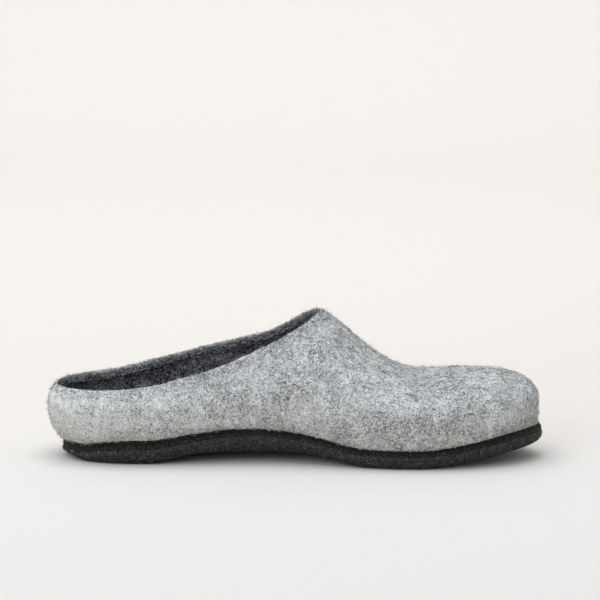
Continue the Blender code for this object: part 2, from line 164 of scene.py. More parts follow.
# The collar's edge, in shares of the way from HEEL_HEIGHT to INSTEP_HEIGHT.
COLLAR_COLUMNS = ("along", "inner", "outer")
COLLAR = (
    (0.000, 0.000, 0.000),
    (0.085, 0.000, 0.030),
    (0.160, 0.045, 0.128),
    (0.225, 0.120, 0.248),
    (0.290, 0.238, 0.358),
    (0.370, 0.425, 0.475),
    (0.440, 0.640, 0.600),
    (0.497, 0.835, 0.815),
    (0.539, 1.000, 1.000),
)

THROAT_ROW = [row[0] for row in OUTLINE].index("throat")

# Height of the insole's top over the midsole, in shares of INSOLE_THICKNESS along its middle,
# and the extra height of its rim, in shares of INSOLE_CUP.
FOOTBED_COLUMNS = ("name", "middle", "rim_inner", "rim_outer")
FOOTBED = (
    ("heel_back", 0.80, 1.00, 1.00),
    ("heel_turn", 0.80, 1.00, 1.00),
    ("heel_round", 0.80, 1.00, 1.00),
    ("heel_seat", 0.86, 1.10, 0.95),
    ("breast", 1.02, 1.45, 0.85),
    ("waist", 1.14, 1.60, 0.75),
    ("instep", 1.18, 1.40, 0.65),
    ("throat", 1.14, 1.05, 0.55),
    ("joint", 0.92, 0.45, 0.35),
    ("ball", 0.80, 0.25, 0.25),
    ("toe_box", 0.72, 0.25, 0.25),
    ("toe_round", 0.70, 0.30, 0.30),
    ("toe_turn", 0.70, 0.30, 0.30),
    ("toe_tip", 0.70, 0.30, 0.30),
)

# Sections and rows of the meshes, finer than in the solids.
FINE = 4
BELLY_ROWS = 14
ARCH_ROWS = 44
BELLY_POWER = 0.75
LIP_STEPS = 12
FOOT_STEPS = 3
FLAT_BLEND = 0.0008
SIDE_LOOPS = 22
LAYER_LOOPS = 10
HIDDEN_LOOPS = 9
TREAD_LOOPS = 40
BED_LOOPS = 44
BED_EDGE_LOOPS = 8
TREAD_POWER = 4.0
BED_POWER = 2.6

# The outsole's side below its top: shares of its rounding inwards and of its height.
SOLE_SIDE = ((0.0, 0.62), (0.22, 0.26), (0.55, 0.07), (1.0, 0.0))

# The felt's lumps as (size, seed), their height as a share of their size, and the fine ones, the
# sole's and the footbed's as (size, seed, height).
FELT_LUMPS = ((0.034, 4), (0.017, 5), (0.009, 7))
FELT_LUMP = 0.0055
FELT_FINE = (0.0060, 9, 0.00006)
OUTSOLE_LUMPS = ((0.0045, 21, 0.00009), (0.002, 23, 0.00007))
BED_LUMPS = ((0.020, 35, 0.00015), (0.004, 31, 0.00006), (0.0021, 33, 0.00005))
BED_SUNK = 0.0001

# Where the lumps fade out over the foot, what is near the rim, where and how far the felt is drawn
# in at the toe, and how far the rim swells on the outer side.
FOOT_FADE = 0.10
RIM_NEAR = (0.002, 0.008)
TOE_STRETCH = (0.112, 0.134)
TOE_DRAWN_IN = 0.0010
SWELL_STRETCH = (0.0, 0.02)
EDGE_SWELL = 0.0008

# Soft troughs (depth below zero) and ridges: along and width in shares of SOLE_LENGTH, lean in the
# same per INSTEP_HEIGHT, low and high in shares of INSTEP_HEIGHT, side -1 inner and 1 outer.
CREASE_COLUMNS = ("along", "lean", "width", "low", "high", "side", "depth")
CREASES = (
    (0.640, -0.10, 0.028, 0.42, 0.80, -1, -0.0006),
    (0.590, -0.10, 0.022, 0.45, 0.90, -1, 0.0003),
    (0.650, -0.10, 0.028, 0.42, 0.80, 1, -0.0006),
    (0.470, 0.12, 0.030, 0.30, 0.70, -1, -0.0005),
    (0.460, 0.12, 0.030, 0.30, 0.70, 1, -0.0004),
    (0.210, 0.00, 0.040, 0.20, 0.50, -1, -0.0003),
)
CREASE_FADE = 0.12
CREASE_SIDE_BLEND = 0.20

# Linear colours of the felts, the darkest and the palest of each, then their specks.
OUTER = ((0.072, 0.084, 0.096), (0.918, 0.966, 1.000))
# The warmer felt near the foot, its pale end darker than the outer felt's as painted shade where the shell
# turns under.
WARM_SHADED = ((0.065, 0.062, 0.056), (0.620, 0.608, 0.565))
LINING = ((0.004, 0.0045, 0.006), (0.500, 0.530, 0.595))
# The midsole's near-black felt, made darker still as painted shade under the shell's belly.
MIDSOLE_FELT_AND_SHADE = ((0.0015, 0.0015, 0.0015), (0.014, 0.014, 0.014))
MIDSOLE_SPECK = (0.110, 0.110, 0.110)
BED = ((0.014, 0.015, 0.018), (0.085, 0.090, 0.100))
BED_SPECK = (0.200, 0.205, 0.215)
SOLE_SIDE_FELT = ((0.008, 0.0075, 0.007), (0.060, 0.056, 0.053))
SOLE_SPECK = (0.330, 0.315, 0.300)
# Painted shade: the near-black that the outsole's side turns to towards its foot.
SOLE_FOOT_SHADE = (0.008, 0.0075, 0.007)
TREAD = ((0.018, 0.017, 0.016), (0.042, 0.040, 0.038))

# The same of the fibres, by the shades that their table names.
FIBRE_SHADES = {
    "pale": ((0.085, 0.096, 0.108), (0.945, 0.978, 1.000)),
    # Fibres near the foot: warmer, and darker as painted shade.
    "warm": ((0.085, 0.082, 0.076), (0.820, 0.795, 0.740)),
    "dark": ((0.008, 0.009, 0.011), (0.800, 0.840, 0.920)),
    "sole": ((0.015, 0.015, 0.015), (0.300, 0.290, 0.280)),
}

# Lightness of the upper's felt, from 0 to 1: the mean, how much paler the heel is painted as painted
# light, the shares of pale and dark hairs, and the noises as (name, half of the range that is used,
# strength).
UPPER_LEVEL = 0.76
HEEL_PAINTED_LIGHT = 0.34
PALE_HAIRS = 0.30
DARK_HAIRS = 0.32
MOTTLE = (
    ("speckle", 0.12, 0.50),
    ("tufts", 0.30, 0.34),
    ("grain", 0.20, 0.26),
    ("cloud", 0.20, 0.22),
    ("patches", 0.20, 0.14),
    ("drift", 0.20, 0.12),
)

# The lining's colour over the lip: where it begins and is full, from 0 outside to 1 inside, and
# how it shifts outwards, as (axis, start, end, shift at the start, shift at the end).
LIP_TURN = (0.27, 0.52)
LIP_SHIFTS = (
    ("X", -0.135, -0.118, -0.38, 0.0),
    ("X", -0.06, 0.0, 0.0, 0.30),
    ("X", 0.010, 0.014, 0.0, -0.65),
    ("Y", 0.0, 0.02, 0.0, 0.24),
)
LINING_RANGE = (0.56, 1.15)
RIM_DARKER = 0.29

# The fibres: length, width and lift in metres, tone from 0 for the darkest to 1 for the palest
# with its spread, loose the share with a free end, and paler what the heel adds to the tone as painted light.
FIBRE_COLUMNS = (
    "name", "on", "place", "shade", "count", "seed",
    "length", "width", "lift", "tone", "loose", "spread", "paler",
)
FIBRES = (
    ("fibres_upper_a", "upper", "outside", "pale", 21000, 41, 0.0052, 0.00021, 0.0004, 0.62, 0.20, 0.60, 0.5),
    ("fibres_upper_b", "upper", "outside", "pale", 20500, 43, 0.0026, 0.00016, 0.0014, 0.52, 0.90, 0.55, 0.5),
    ("fibres_foot", "upper", "foot", "warm", 13000, 44, 0.0030, 0.00017, 0.0010, 0.48, 0.60, 0.50, 0.3),
    ("fibres_edge", "upper", "edge", "pale", 4400, 46, 0.0022, 0.00020, 0.0020, 0.75, 0.90, 0.34, 0.0),
    ("fibres_rim", "upper", "rim", "dark", 17000, 45, 0.0020, 0.00026, 0.0013, 0.02, 0.85, 0.34, 0.0),
    ("fibres_lining", "upper", "lining", "dark", 12000, 47, 0.0034, 0.00028, 0.0008, 0.16, 0.30, 0.70, 0.0),
    ("fibres_outsole", "outsole", "side", "sole", 6500, 49, 0.0024, 0.00011, 0.0005, 0.35, 0.35, 0.34, 0.0),
    ("fibres_joint", "outsole", "joint", "pale", 110, 53, 0.0024, 0.00014, 0.0002, 0.45, 0.35, 0.34, 0.0),
    ("fibres_midsole", "midsole", "band", "sole", 3500, 51, 0.0022, 0.00012, 0.0006, -0.15, 0.35, 0.34, 0.0),
)
FIBRE_STEPS = 4
FIBRE_CURL = 1.1
FIBRE_SWING = 0.5
FIBRE_REACH = (0.45, 1.25)
FIBRE_WIDTHS = (0.6, 1.3)
FIBRE_TAPER = 0.55
FIBRE_SUNK = 0.00003
STAND_MEAN = 0.5
STAND_MOST = 1.5
# Where the painted light on the heel's fibres fades out, along the shoe.
HEEL_PAINTED_LIGHT_SPAN = (-0.13, 0.03)

# The studio: floor colours, sky and lamps (name, place, target, size, power, tint).
FLOOR_LEVEL = -0.0003
FLOOR_NEAR = (0.800, 0.800, 0.797)
FLOOR_MID = (0.806, 0.786, 0.766)
FLOOR_CLOUD = (0.818, 0.817, 0.812)
# The back of the sweep, painted paler than the floor in front as painted light, and warmer.
FLOOR_BACK_PAINTED_LIGHT = (0.902, 0.884, 0.864)
SKY_STRENGTH = 0.50
LAMPS = (
    ("overhead", (-0.35, 0.10, 1.7), (0.0, 0.0, 0.0), 1.7, 9.0, (1.0, 1.0, 1.0)),
    ("front", (-1.1, -2.0, 1.0), (0.0, 0.0, 0.0), 1.2, 15.0, (1.0, 1.0, 1.0)),
    ("backdrop", (0.0, 0.7, 2.4), (0.0, 2.1, 0.8), 2.4, 25.0, (1.0, 0.975, 0.950)),
)

# The camera: distance to its target and width of the frame there in metres, angles in degrees.
CAMERA_DISTANCE = 1.5
FRAME_WIDTH = 0.3296
CAMERA_PITCH = 8.5
CAMERA_YAW = 0.0
CAMERA_TARGET = (0.0029, 0.0, 0.0847)


def column(table, columns, name):
    """One column of a table, as an array."""
    return np.array([row[columns.index(name)] for row in table], float)


def cubic(knots, values, at, closed=False):
    """A smooth cubic through the values at the knots: natural at its ends, or closed on itself."""
    knots, values, at = (np.asarray(a, float) for a in (knots, values, at))
    ends = np.append(values, values[0]) if closed else values
    gaps = np.diff(knots)
    slopes = np.diff(ends) / gaps
    count = len(values)
    matrix, right = np.eye(count), np.zeros(count)
    for i in range(0 if closed else 1, count if closed else count - 1):
        before, after = gaps[i - 1], gaps[i]
        matrix[i, i] = 2 * (before + after)
        matrix[i, i - 1] = before
        matrix[i, (i + 1) % count] = after
        right[i] = 6 * (slopes[i] - slopes[i - 1])
    bend = np.linalg.solve(matrix, right)
    bend = np.append(bend, bend[0]) if closed else bend
    if closed:
        at = knots[0] + (at - knots[0]) % (knots[-1] - knots[0])
    i = np.clip(np.searchsorted(knots, at, side="right") - 1, 0, len(gaps) - 1)
    right_share = (at - knots[i]) / gaps[i]
    left_share = 1 - right_share
    curve = (left_share**3 - left_share) * bend[i] + (right_share**3 - right_share) * bend[i + 1]
    return left_share * ends[i] + right_share * ends[i + 1] + curve * gaps[i] ** 2 / 6


def station_rows():
    """Positions of the sections from the heel to the toe, counted in rows of the tables."""
    steps = [FINE * row[OUTLINE_COLUMNS.index("steps")] for row in OUTLINE]
    found = []
    for row, count in enumerate(steps):
        shares = np.arange(count) / max(count, 1)
        # The collar turns across the shoe at the throat, so the sections gather there.
        if row == THROAT_ROW - 1:
            shares = 1 - (1 - shares) ** 1.8
        if row == THROAT_ROW:
            shares = shares**1.4
        found.extend(row + shares)
    return np.array([*found, len(steps) - 1])


def both_sides(inner, outer):
    """Values of the rows, once round the shoe: up the inner side and back down the outer side."""
    return np.concatenate([inner, outer[-2:0:-1]])


class Last:
    """The sections that all the pieces share, one entry each, once round the shoe."""

    def __init__(self):
        rows = station_rows()
        last_row = len(OUTLINE) - 1
        self.half = len(rows) - 1
        self.count = 2 * self.half
        self.throat = int(np.argmin(abs(rows - THROAT_ROW)))
        self.places = np.concatenate([rows, (2 * last_row - rows)[-2:0:-1]])
        along = column(OUTLINE, OUTLINE_COLUMNS, "along") * SOLE_LENGTH
        inner, outer = (column(OUTLINE, OUTLINE_COLUMNS, side) * BALL_WIDTH for side in ("inner", "outer"))
        self.row_points = np.column_stack([both_sides(along, along), both_sides(inner, outer)])
        steps = np.roll(self.row_points, -1, axis=0) - self.row_points
        self.knots = np.concatenate([[0], np.cumsum(np.hypot(*steps.T))])
        self.at = np.interp(self.places, np.arange(len(self.knots)), self.knots)
        self.edge = self.outline(self.at)
        small = 1e-4 * SOLE_LENGTH
        tangent = self.outline(self.at + small) - self.outline(self.at - small)
        tangent /= np.linalg.norm(tangent, axis=1)[:, None]
        self.out = np.column_stack([tangent[:, 1], -tangent[:, 0]])
        self.along = self.mirror_mean(self.edge[:, 0]) / SOLE_LENGTH
        self.centre_along = self.gathered(self.along)
        turn_along, turn_across = (column(TURN, TURN_COLUMNS, name) for name in ("along", "across"))
        across = np.interp(self.centre_along, turn_along, turn_across)
        self.centre = np.column_stack([self.centre_along * SOLE_LENGTH, across * BALL_WIDTH])

    def outline(self, at):
        """Points of the sole's outline."""
        return np.column_stack([cubic(self.knots, self.row_points[:, i], at, closed=True) for i in (0, 1)])

    def ring(self, table, columns, inner, outer=None):
        """A column, or one for each side, worked out at every section."""
        values = both_sides(column(table, columns, inner), column(table, columns, outer or inner))
        return cubic(self.knots, values, self.at, closed=True)

    def mirror_mean(self, values):
        """The mean of the two sections that face each other across the shoe."""
        return (values + values[-np.arange(self.count)]) / 2

    def over_centre(self, values):
        """Values along the middle line: the mean of the two sides, read where the centre lies."""
        half = slice(0, self.half + 1)
        mean = self.mirror_mean(values)[half]
        return np.interp(self.centre_along, self.along[half], mean)

    @staticmethod
    def gathered(along):
        """Shares of the length, gathered in the centres of the heel and the toe near the ends."""
        low, high = column(TURN, TURN_COLUMNS, "along")
        blend = TURN_BLEND / SOLE_LENGTH
        kept = np.clip(along, low - blend, high + blend)
        near_low = kept < low + blend
        near_high = kept > high - blend
        ease_low = (kept - low - blend) ** 2 / (4 * blend)
        ease_high = (kept - high + blend) ** 2 / (4 * blend)
        return kept + np.where(near_low, ease_low, 0) - np.where(near_high, ease_high, 0)


def loop(plan, height):
    """Points of one loop, from its plan and its height."""
    return np.column_stack([plan, np.broadcast_to(height, len(plan))])


def beside(last, offset, height):
    """A loop that stands off the sole's outline by an offset, which is negative inside it."""
    return loop(last.edge + last.out * np.reshape(offset, (-1, 1)), height)


def dished(last, rim, middle, shares, power=2.0):
    """Loops at shares of the way from the middle line to a rim, with a power as the dish's section."""
    spread = rim[:, :2] - last.centre
    return [loop(last.centre + spread * s, middle + (rim[:, 2] - middle) * s**power) for s in shares]


def above_floor(raised):
    """Height of the underside: cut flat by the floor, with a short soft start to each rise."""
    eased = (raised + FLAT_BLEND) ** 2 / (4 * FLAT_BLEND)
    return np.where(raised < -FLAT_BLEND, 0, np.where(raised < FLAT_BLEND, eased, raised))


class Heights:
    """Heights of the sole's layers at its edge and along its middle line."""

    def __init__(self, last):
        arch = last.ring(SOLE, SOLE_COLUMNS, "arch_inner", "arch_outer") * ARCH_RISE
        raised = arch + last.ring(SOLE, SOLE_COLUMNS, "spring") * TOE_SPRING
        thick = last.ring(SOLE, SOLE_COLUMNS, "thick_inner", "thick_outer") * SOLE_THICKNESS
        layer = last.ring(SOLE, SOLE_COLUMNS, "midsole") * MIDSOLE_THICKNESS
        self.tread = above_floor(raised)
        self.tread_middle = above_floor(last.over_centre(raised))
        self.seat = self.tread + thick
        self.seat_middle = last.over_centre(self.seat) - SEAT_DISH
        self.joint = self.seat - layer
        self.joint_middle = self.seat_middle - last.over_centre(layer)
        self.tuck = last.ring(SHELL, SHELL_COLUMNS, "tuck") * SOLE_LEDGE
        self.margin = self.tuck + GAP + WALL + INSOLE_CLEARANCE


def shell_outside(last, heights):
    """The shell's outer face: rows of points from its foot to the crown or the collar's edge."""
    foot = -heights.tuck - GAP
    bulge = last.ring(SHELL, SHELL_COLUMNS, "bulge_inner", "bulge_outer") * HEEL_BULGE
    rise = last.ring(SHELL, SHELL_COLUMNS, "belly") * BELLY_HEIGHT
    fullness = last.ring(SHELL, SHELL_COLUMNS, "fullness")
    base = heights.seat + GAP
    rows = []
    for step in np.arange(BELLY_ROWS) / BELLY_ROWS:
        climb = 1 - math.cos(step * math.pi / 2)
        out = (1 - (1 - climb) ** 2) ** BELLY_POWER
        rows.append(beside(last, foot + (bulge - foot) * out, base + rise * climb))
    belly = beside(last, bulge, base + rise)
    crown = crown_height(last.centre_along)
    arch = crown - belly[:, 2]
    cut = math.pi / 2 - top_angle(last, belly[:, 2], arch, fullness)
    # The rows keep their places on the arch and close up only near a collar that cuts it.
    closing = np.clip(0.8 * math.pi / 2 / np.maximum(cut, 1e-6), 1, 4)
    for step in np.arange(ARCH_ROWS + 1) / ARCH_ROWS:
        angle = math.pi / 2 * step - cut * step**closing
        side, up = (np.clip(wave(angle), 0, 1) ** (2 / fullness) for wave in (np.cos, np.sin))
        side = np.where(angle > math.pi / 2 - 1e-9, 0, side)
        plan = last.centre + (belly[:, :2] - last.centre) * side[:, None]
        rows.append(loop(plan, belly[:, 2] + arch * up))
    return np.array(rows)


def crown_height(along):
    """Height of the last's top line."""
    knots, share = (column(CROWN, CROWN_COLUMNS, name) for name in CROWN_COLUMNS)
    return TOE_HEIGHT + (INSTEP_HEIGHT - TOE_HEIGHT) * cubic(knots, share, along)


def top_angle(last, belly, arch, fullness):
    """How far each section's arch runs: a right angle over the toes, less where the collar cuts it."""
    knots = column(COLLAR, COLLAR_COLUMNS, "along")
    sides = (column(COLLAR, COLLAR_COLUMNS, side) for side in ("inner", "outer"))
    inner, outer = (cubic(knots, side, last.along) for side in sides)
    index = np.arange(last.count)
    share = np.where(index <= last.half, inner, outer)
    cut = HEEL_HEIGHT + (INSTEP_HEIGHT - HEEL_HEIGHT) * share
    reach = np.clip((cut - belly) / arch, 0, 1) ** (fullness / 2)
    from_heel = np.minimum(index, last.count - index)
    return np.where(from_heel < last.throat, np.arcsin(reach), math.pi / 2)


def outward(rows):
    """Unit normals at the points of a face, the same where points of its top row fall together."""
    across = np.roll(rows, -1, axis=1) - rows
    up = np.diff(rows, axis=0)
    corners = np.zeros_like(rows)
    for near, far in ((0, 0), (0, 1), (1, 0), (1, 1)):
        side = across if far == 0 else np.roll(across, 1, axis=1)
        face = np.cross(side[:-1] if near == 0 else side[1:], up)
        corners[near : len(rows) - 1 + near] += face
    _, groups = np.unique(np.round(rows[-1], 7), axis=0, return_inverse=True)
    groups = groups.reshape(-1)
    sums = np.zeros((groups.max() + 1, 3))
    np.add.at(sums, groups, corners[-1])
    corners[-1] = sums[groups]
    return corners / np.linalg.norm(corners, axis=2)[:, :, None]


def shell_inside(last, heights, outside):
    """The shell's inner face, one wall inside the outer one, with a level foot."""
    inside = outside - WALL * outward(outside)
    inside[0] = beside(last, -heights.tuck - GAP - WALL, heights.seat + GAP)
    return inside


def waves(points, size, seed):
    """A smooth field of random lumps of about that size, near -1 to 1, one value a point."""
    random = np.random.default_rng(seed)
    way = random.normal(size=(48, 3))
    way *= (2 * math.pi / size * random.uniform(0.7, 1.3, 48) / np.linalg.norm(way, axis=1))[:, None]
    return np.cos(points @ way.T + random.uniform(0, 2 * math.pi, 48)).sum(axis=1) / 6


def raised_by(lumps, points):
    """How far lumps of each (size, seed, height) raise the points."""
    return sum(waves(points, size, seed) * height for size, seed, height in lumps)


def through(loops, count):
    """That many loops on smooth cubics through the given ones."""
    loops = np.array(loops)
    knots = np.arange(len(loops))
    at = np.linspace(0, knots[-1], count)
    found = [cubic(knots, values, at) for values in loops.reshape(len(loops), -1).T]
    return np.transpose(found).reshape(count, *loops.shape[1:])


def put(name, data):
    """A new object in the scene, with its data."""
    made = bpy.data.objects.new(name, data)
    bpy.context.scene.collection.objects.link(made)
    return made


def keep_values(data, label, values):
    """Keeps a value on each of the mesh's points."""
    kept = data.attributes.new(label, "FLOAT", "POINT").data
    kept.foreach_set("value", values.astype(np.float32))


def mesh_of_grids(name, grids, shift):
    """One mesh of rings of points, with values of zone and rise, joined where the rings meet."""
    points, quads, zones, rises, start = [], [], [], [], 0
    for rows, zone, rise in grids:
        rows = np.asarray(rows)
        high, wide = rows.shape[:2]
        index = start + np.arange(high * wide).reshape(high, wide)
        index = np.column_stack([index, index[:, 0]])
        corners = (index[:-1, :-1], index[:-1, 1:], index[1:, 1:], index[1:, :-1])
        quads.append(np.stack(corners, axis=-1).reshape(-1, 4))
        points.append(rows.reshape(-1, 3))
        zones.append(np.repeat(np.broadcast_to(zone, high), wide))
        rises.append(np.repeat(np.broadcast_to(rise, high), wide))
        start += high * wide
    data = bpy.data.meshes.new(name)
    data.from_pydata((np.concatenate(points) + shift).tolist(), [], np.concatenate(quads).tolist())
    keep_values(data, "zone", np.concatenate(zones))
    keep_values(data, "rise", np.concatenate(rises))
    mesh = bmesh.new()
    mesh.from_mesh(data)
    bmesh.ops.remove_doubles(mesh, verts=mesh.verts, dist=2e-6)
    bmesh.ops.dissolve_degenerate(mesh, dist=1e-7, edges=mesh.edges)
    bmesh.ops.recalc_face_normals(mesh, faces=mesh.faces)
    mesh.to_mesh(data)
    mesh.free()
    data.shade_smooth()
    return put(name, data)


def vertex_values(made, label):
    """The values kept on the mesh's points, as an array."""
    values = np.zeros(len(made.data.vertices), np.float32)
    made.data.attributes[label].data.foreach_get("value", values)
    return values


def points_and_normals(made):
    """The mesh's points and their normals, as arrays."""
    points, normals = (np.zeros(len(made.data.vertices) * 3, np.float32) for _ in range(2))
    made.data.vertices.foreach_get("co", points)
    made.data.vertex_normals.foreach_get("vector", normals)
    return points.reshape(-1, 3).astype(float), normals.reshape(-1, 3).astype(float)


def push(made, amount):
    """Moves the mesh's points along their normals by an amount each."""
    points, normals = points_and_normals(made)
    moved = points + normals * np.reshape(amount, (-1, 1))
    made.data.vertices.foreach_set("co", moved.astype(np.float32).ravel())
    made.data.update()


def soft(value, low, high):
    """0 at low and below, 1 at high and above, smooth between."""
    t = np.clip((np.asarray(value, float) - low) / (high - low), 0, 1)
    return t * t * (3 - 2 * t)


def make_upper(last, heights, shift):
    """The shell: two faces, a round lip at the collar and a level foot, with felted lumps."""
    outside = shell_outside(last, heights)
    inside = shell_inside(last, heights, outside)
    climb = np.linspace(0, 1, len(outside))
    collar = np.r_[last.throat : -1 : -1, last.count - 1 : last.count - last.throat : -1]
    rim_out, rim_in = outside[-1][collar], inside[-1][collar]
    along = np.roll(rim_out, -1, axis=0) - np.roll(rim_out, 1, axis=0)
    wall = rim_out - rim_in
    beyond = np.cross(wall, along)
    beyond /= np.linalg.norm(beyond, axis=1)[:, None]
    turns = np.linspace(0, math.pi, LIP_STEPS + 1)
    lip = [(rim_out + rim_in) / 2 + wall / 2 * math.cos(t) + beyond * WALL / 2 * math.sin(t) for t in turns]
    shares = np.linspace(0, 1, FOOT_STEPS + 1)
    foot = outside[0] + (inside[0] - outside[0]) * shares[:, None, None]
    grids = [
        (outside, 0.0, climb),
        (inside, 1.0, climb),
        (lip, np.linspace(0, 1, LIP_STEPS + 1), 1.0),
        (foot, shares, 0.0),
    ]
    made = mesh_of_grids("felt_upper", grids, shift)
    points, _ = points_and_normals(made)
    edge = rim_out + shift
    square = (points**2).sum(axis=1)[:, None] + (edge**2).sum(axis=1) - 2 * points @ edge.T
    near = 1 - soft(np.sqrt(np.clip(square, 0, None).min(axis=1)), *RIM_NEAR)
    keep_values(made.data, "near_rim", near)
    fade = soft(vertex_values(made, "rise"), 0.0, FOOT_FADE)
    lumps = sum(size * waves(points, size, seed) for size, seed in FELT_LUMPS)
    fine = raised_by([FELT_FINE], points)
    toe = soft(points[:, 0], *TOE_STRETCH) * TOE_DRAWN_IN
    swell = near * soft(points[:, 1], *SWELL_STRETCH) * EDGE_SWELL
    zone = vertex_values(made, "zone")
    both = creases(points, shift) * (1 - 2 * zone) - toe * (1 - zone)
    push(made, fade * (lumps * FELT_LUMP + fine + swell + both))
    return made


def creases(points, shift):
    """Soft troughs and ridges where the felt gives."""
    along = (points[:, 0] - shift[0]) / SOLE_LENGTH
    across = (points[:, 1] - shift[1]) / BALL_WIDTH
    height = points[:, 2] / INSTEP_HEIGHT
    total = np.zeros(len(points))
    for row in CREASES:
        crease = dict(zip(CREASE_COLUMNS, row))
        middle = crease["along"] + crease["lean"] * (height - 0.5)
        band = np.exp(-(((along - middle) / crease["width"]) ** 2))
        sides = soft(across * crease["side"], -CREASE_SIDE_BLEND, CREASE_SIDE_BLEND)
        starts = soft(height, crease["low"] - CREASE_FADE, crease["low"])
        ends = soft(height, crease["high"], crease["high"] + CREASE_FADE)
        reach = starts * (1 - ends)
        total += crease["depth"] * band * sides * reach
    return total


def sole_layers(last, heights):
    """Loops of the outsole's and the midsole's side, rounded finer than in the solids."""
    rounding = SOLE_EDGE_ROUND * last.ring(SOLE, SOLE_COLUMNS, "round")
    top = heights.joint - GAP
    rise = top - heights.tread
    outsole = [beside(last, -GAP, top)]
    for inwards, height in SOLE_SIDE:
        outsole.append(beside(last, -inwards * rounding, heights.tread + height * rise))
    midsole = [
        beside(last, -heights.tuck, heights.seat),
        beside(last, -GAP - 0.25 * heights.tuck, (heights.seat + heights.joint) / 2),
        beside(last, -GAP, heights.joint),
    ]
    return outsole, midsole


def make_outsole(last, heights, shift):
    """The charcoal sole, with its tread."""
    side, _ = sole_layers(last, heights)
    top = heights.joint - GAP
    top_rim = beside(last, -heights.margin, top)
    shares = np.linspace(0, 1, HIDDEN_LOOPS)
    upper_face = [*dished(last, top_rim, heights.joint_middle - GAP, shares), beside(last, -GAP, top)]
    rim = side[-1]
    tread = dished(last, rim, heights.tread_middle, np.linspace(1, 0, TREAD_LOOPS), TREAD_POWER)
    grids = [
        (upper_face, 0.0, 1.0),
        (through(side, SIDE_LOOPS), 0.0, np.linspace(1, 0, SIDE_LOOPS)),
        (tread, 1.0, 0.0),
    ]
    made = mesh_of_grids("outsole_felt", grids, shift)
    points, _ = points_and_normals(made)
    zone, rise = vertex_values(made, "zone"), vertex_values(made, "rise")
    push(made, soft(1 - zone, 0.5, 1) * soft(rise, 0.1, 0.4) * raised_by(OUTSOLE_LUMPS, points))
    return made


def make_midsole(last, heights, shift):
    """The near-black felt layer under the shell."""
    _, side = sole_layers(last, heights)
    seat_rim = beside(last, -heights.margin, heights.seat)
    joint_rim = beside(last, -heights.margin, heights.joint)
    shares = np.linspace(0, 1, HIDDEN_LOOPS)
    grids = [
        ([*dished(last, seat_rim, heights.seat_middle, shares), side[0]], 0.0, 1.0),
        (through(side, LAYER_LOOPS), 0.0, np.linspace(1, 0, LAYER_LOOPS)),
        ([side[-1], *dished(last, joint_rim, heights.joint_middle, shares[::-1])], 0.0, 0.0),
    ]
    return mesh_of_grids("midsole_felt", grids, shift)


def make_footbed(last, heights, shift):
    """The felt footbed: cupped heel, arch support and a rounded rim against the shell."""
    over = last.over_centre(last.ring(FOOTBED, FOOTBED_COLUMNS, "middle")) * INSOLE_THICKNESS
    edge_over = last.ring(FOOTBED, FOOTBED_COLUMNS, "middle") * INSOLE_THICKNESS
    rim_over = last.ring(FOOTBED, FOOTBED_COLUMNS, "rim_inner", "rim_outer") * INSOLE_CUP
    rim_height = heights.seat + edge_over + rim_over
    inside = shell_inside(last, heights, shell_outside(last, heights))[: BELLY_ROWS + 1]
    offsets = ((inside[:, :, :2] - last.edge) * last.out).sum(axis=2)
    reach = np.array([np.interp(rim_height[i], inside[:, i, 2], offsets[:, i]) for i in range(last.count)])
    top_rim = beside(last, reach - INSOLE_CLEARANCE - GAP, rim_height)
    low = beside(last, -heights.margin, heights.seat + GAP)
    shares = np.linspace(0, 1, BED_LOOPS)
    grids = [
        (dished(last, top_rim, heights.seat_middle + over, shares, BED_POWER), 0.0, shares),
        (np.linspace(top_rim, low, BED_EDGE_LOOPS), 1.0, 1.0),
        (dished(last, low, heights.seat_middle + GAP, np.linspace(1, 0, BED_EDGE_LOOPS)), 1.0, 1.0),
    ]
    made = mesh_of_grids("felt_footbed", grids, shift)
    points, _ = points_and_normals(made)
    on_top = 1 - vertex_values(made, "zone")
    push(made, on_top * (raised_by(BED_LUMPS, points) - BED_SUNK))
    return made


